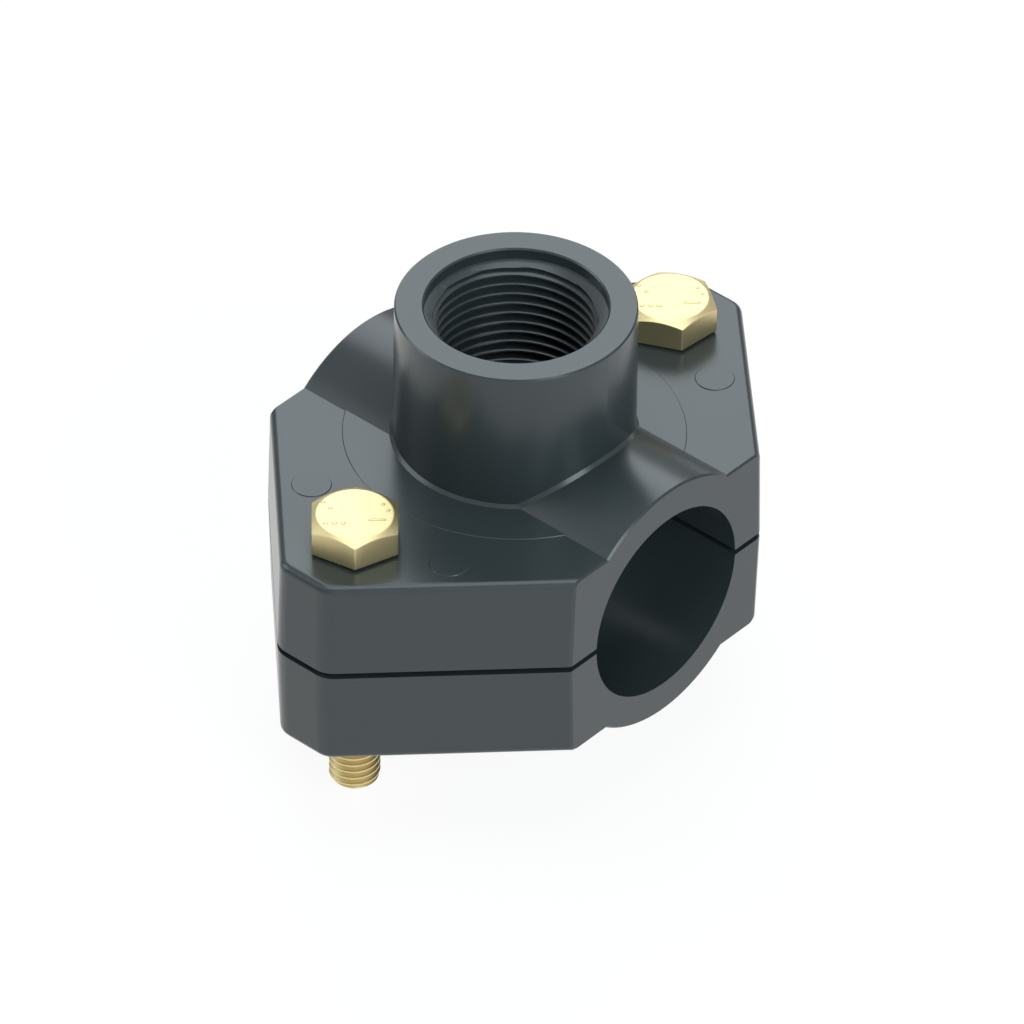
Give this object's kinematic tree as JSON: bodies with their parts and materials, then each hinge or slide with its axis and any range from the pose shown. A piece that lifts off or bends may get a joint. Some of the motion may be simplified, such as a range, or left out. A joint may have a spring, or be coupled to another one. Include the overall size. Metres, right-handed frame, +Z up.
{
  "type": "tapping saddle",
  "caption": "Two-part moulded clamp saddle that bolts round a 32 mm pipe and gives it a G 3/4 female threaded outlet.",
  "frame": {"origin": "where the pipe's axis and the outlet's axis cross, in the middle of the pipe bore", "axes": "+X along the pipe, +Z up the outlet's axis, and Y through both bolts, with the front bolt at -Y"},
  "size_m": [0.062, 0.0962, 0.0702],
  "materials": {
    "moulded_pvc": "moulded PVC-U, dark grey, smooth with a soft gloss",
    "epdm_rubber": "moulded EPDM rubber, black",
    "yellow_zinc_steel": "steel, zinc plated and yellow passivated"
  },
  "bodies": {
    "saddle": {"upper_saddle": "moulded_pvc", "outlet_seal": "epdm_rubber"},
    "clamp": {"lower_clamp": "moulded_pvc", "front_nut": "yellow_zinc_steel", "rear_nut": "yellow_zinc_steel"},
    "front_bolt": {"front_bolt": "yellow_zinc_steel"},
    "rear_bolt": {"rear_bolt": "yellow_zinc_steel"}
  },
  "joints": [
    {"name": "front_bolt_turn", "type": "hinge", "parent": "saddle", "child": "front_bolt", "pos_m": [0, -0.036, 0.0164], "axis": [0, 0, 1], "range_deg": [0, 3600]},
    {"name": "rear_bolt_turn", "type": "hinge", "parent": "saddle", "child": "rear_bolt", "pos_m": [0, 0.036, 0.0164], "axis": [0, 0, 1], "range_deg": [0, 3600]},
    {"name": "clamp_travel", "type": "slide", "parent": "saddle", "child": "clamp", "axis": [0, 0, -1], "range_m": [0, 0.0125]}
  ],
  "couplings": [
    {"joint": "front_bolt_turn", "follows": "clamp_travel", "rad_per_m": 5026.5},
    {"joint": "rear_bolt_turn", "follows": "clamp_travel", "rad_per_m": 5026.5}
  ]
}
